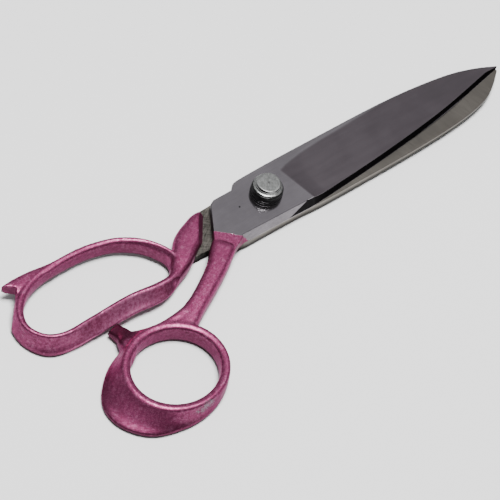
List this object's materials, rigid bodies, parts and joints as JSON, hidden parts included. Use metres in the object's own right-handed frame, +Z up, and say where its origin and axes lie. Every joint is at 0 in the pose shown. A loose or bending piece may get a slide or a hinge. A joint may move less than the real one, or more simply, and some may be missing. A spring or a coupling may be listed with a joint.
{
  "type": "tailor's shears",
  "caption": "Heavy straight-edged tailor's shears: crossed steel leaves on a bolted pivot, with a cast round thumb bow and a long finger bow.",
  "frame": {"origin": "on the pivot axis, in the plane that the closed pair lies on, at the centre of the pivot bolt's flat head", "axes": "+X towards the points of the closed blades, +Z up the pivot axis from the lower leaf to the upper, and the thumb bow on the -Y side"},
  "size_m": [0.276, 0.0965, 0.0177],
  "materials": {
    "blade_steel": "ground and lightly polished",
    "flake_enamel": "metallic flake enamel over a casting",
    "zinc_plate": "dull zinc plate",
    "black_oxide": "blackened spring steel",
    "black_rubber": "moulded, slightly glossy"
  },
  "bodies": {
    "lower_leaf": {"lower_blade": "blade_steel", "finger_handle": "flake_enamel", "pivot_bolt": "zinc_plate", "spring_washer": "black_oxide", "rubber_ring": "black_rubber", "cap_nut": "zinc_plate"},
    "upper_leaf": {"upper_blade": "blade_steel", "thumb_handle": "flake_enamel"}
  },
  "joints": [
    {"name": "pivot", "type": "hinge", "parent": "lower_leaf", "child": "upper_leaf", "pos_m": [0, 0, 0.0055], "axis": [0, 0, 1], "range_deg": [0, 100]}
  ]
}
